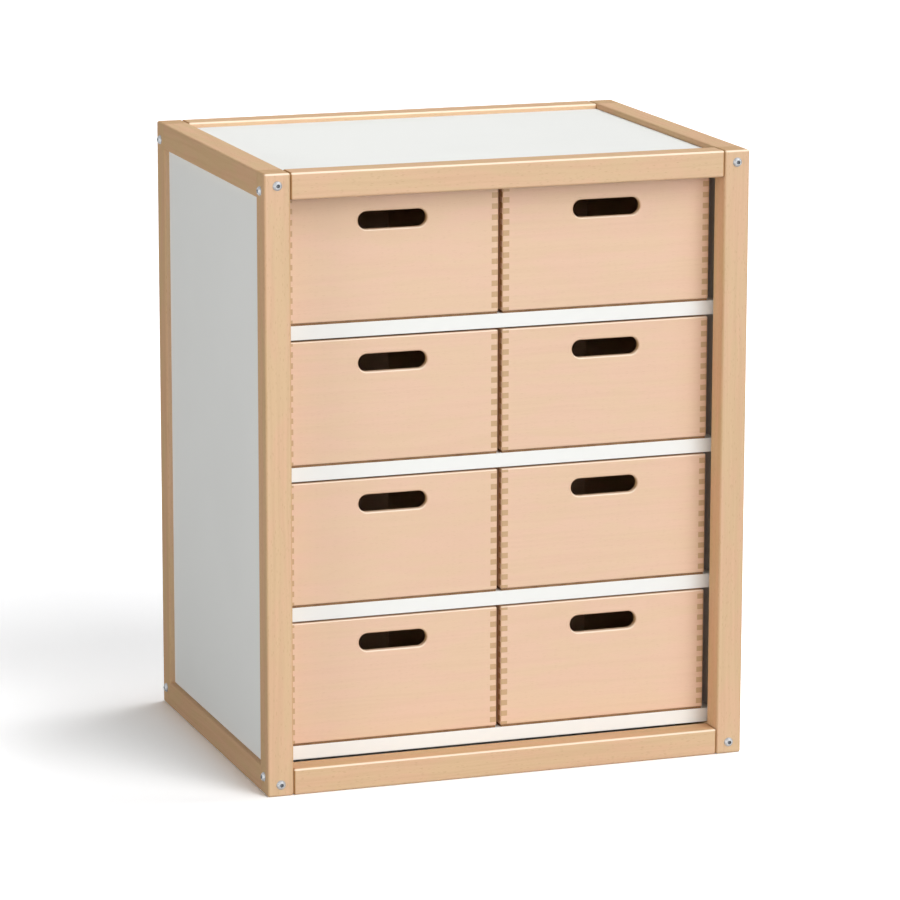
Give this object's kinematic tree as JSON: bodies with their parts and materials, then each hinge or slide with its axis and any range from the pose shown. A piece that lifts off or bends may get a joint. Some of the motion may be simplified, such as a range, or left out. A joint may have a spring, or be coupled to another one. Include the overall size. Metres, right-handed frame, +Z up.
{
  "type": "drawer pedestal",
  "caption": "Low storage unit: a square beech frame closed by white boards, with shelves that carry loose finger-jointed wooden boxes with grip slots, used as drawers.",
  "frame": {"origin": "on the floor under the middle of the unit", "axes": "+Z up, front faces -Y, +X to the right seen from the front"},
  "size_m": [0.5746, 0.4346, 0.7],
  "materials": {
    "beech_frame": "satin lacquer",
    "beech_box": "satin lacquer",
    "hardboard_bottom": "pressed smooth",
    "dowel_wood": "raw",
    "white_board": "melamine faced",
    "zinc_steel": "zinc plated"
  },
  "bodies": {
    "root": {"back_bottom_rail": "beech_frame", "back_left_post": "beech_frame", "back_panel": "white_board", "back_right_post": "beech_frame", "back_top_rail": "beech_frame", "barrel_nuts": "zinc_steel", "board_dowels": "dowel_wood", "cross_rail_bolts": "zinc_steel", "floor_board": "white_board", "frame_dowels": "dowel_wood", "front_bottom_rail": "beech_frame", "front_left_post": "beech_frame", "front_right_post": "beech_frame", "front_top_rail": "beech_frame", "left_bottom_rail": "beech_frame", "left_side_panel": "white_board", "left_top_rail": "beech_frame", "right_bottom_rail": "beech_frame", "right_side_panel": "white_board", "right_top_rail": "beech_frame", "shelf_1": "white_board", "shelf_2": "white_board", "shelf_3": "white_board", "shelf_pins": "zinc_steel", "side_rail_bolts": "zinc_steel", "top_panel": "white_board"},
    "drawer_left_1": {"drawer_left_1_back": "beech_box", "drawer_left_1_bottom": "hardboard_bottom", "drawer_left_1_front": "beech_box", "drawer_left_1_sides": "beech_box"},
    "drawer_right_1": {"drawer_right_1_back": "beech_box", "drawer_right_1_bottom": "hardboard_bottom", "drawer_right_1_front": "beech_box", "drawer_right_1_sides": "beech_box"},
    "drawer_left_2": {"drawer_left_2_back": "beech_box", "drawer_left_2_bottom": "hardboard_bottom", "drawer_left_2_front": "beech_box", "drawer_left_2_sides": "beech_box"},
    "drawer_right_2": {"drawer_right_2_back": "beech_box", "drawer_right_2_bottom": "hardboard_bottom", "drawer_right_2_front": "beech_box", "drawer_right_2_sides": "beech_box"},
    "drawer_left_3": {"drawer_left_3_back": "beech_box", "drawer_left_3_bottom": "hardboard_bottom", "drawer_left_3_front": "beech_box", "drawer_left_3_sides": "beech_box"},
    "drawer_right_3": {"drawer_right_3_back": "beech_box", "drawer_right_3_bottom": "hardboard_bottom", "drawer_right_3_front": "beech_box", "drawer_right_3_sides": "beech_box"},
    "drawer_left_4": {"drawer_left_4_back": "beech_box", "drawer_left_4_bottom": "hardboard_bottom", "drawer_left_4_front": "beech_box", "drawer_left_4_sides": "beech_box"},
    "drawer_right_4": {"drawer_right_4_back": "beech_box", "drawer_right_4_bottom": "hardboard_bottom", "drawer_right_4_front": "beech_box", "drawer_right_4_sides": "beech_box"}
  },
  "joints": [
    {"name": "drawer_left_1_slide", "type": "slide", "parent": "root", "child": "drawer_left_1", "axis": [0, -1, 0], "range_m": [0, 0.41]},
    {"name": "drawer_right_1_slide", "type": "slide", "parent": "root", "child": "drawer_right_1", "axis": [0, -1, 0], "range_m": [0, 0.41]},
    {"name": "drawer_left_2_slide", "type": "slide", "parent": "root", "child": "drawer_left_2", "axis": [0, -1, 0], "range_m": [0, 0.41]},
    {"name": "drawer_right_2_slide", "type": "slide", "parent": "root", "child": "drawer_right_2", "axis": [0, -1, 0], "range_m": [0, 0.41]},
    {"name": "drawer_left_3_slide", "type": "slide", "parent": "root", "child": "drawer_left_3", "axis": [0, -1, 0], "range_m": [0, 0.41]},
    {"name": "drawer_right_3_slide", "type": "slide", "parent": "root", "child": "drawer_right_3", "axis": [0, -1, 0], "range_m": [0, 0.41]},
    {"name": "drawer_left_4_slide", "type": "slide", "parent": "root", "child": "drawer_left_4", "axis": [0, -1, 0], "range_m": [0, 0.41]},
    {"name": "drawer_right_4_slide", "type": "slide", "parent": "root", "child": "drawer_right_4", "axis": [0, -1, 0], "range_m": [0, 0.41]}
  ]
}
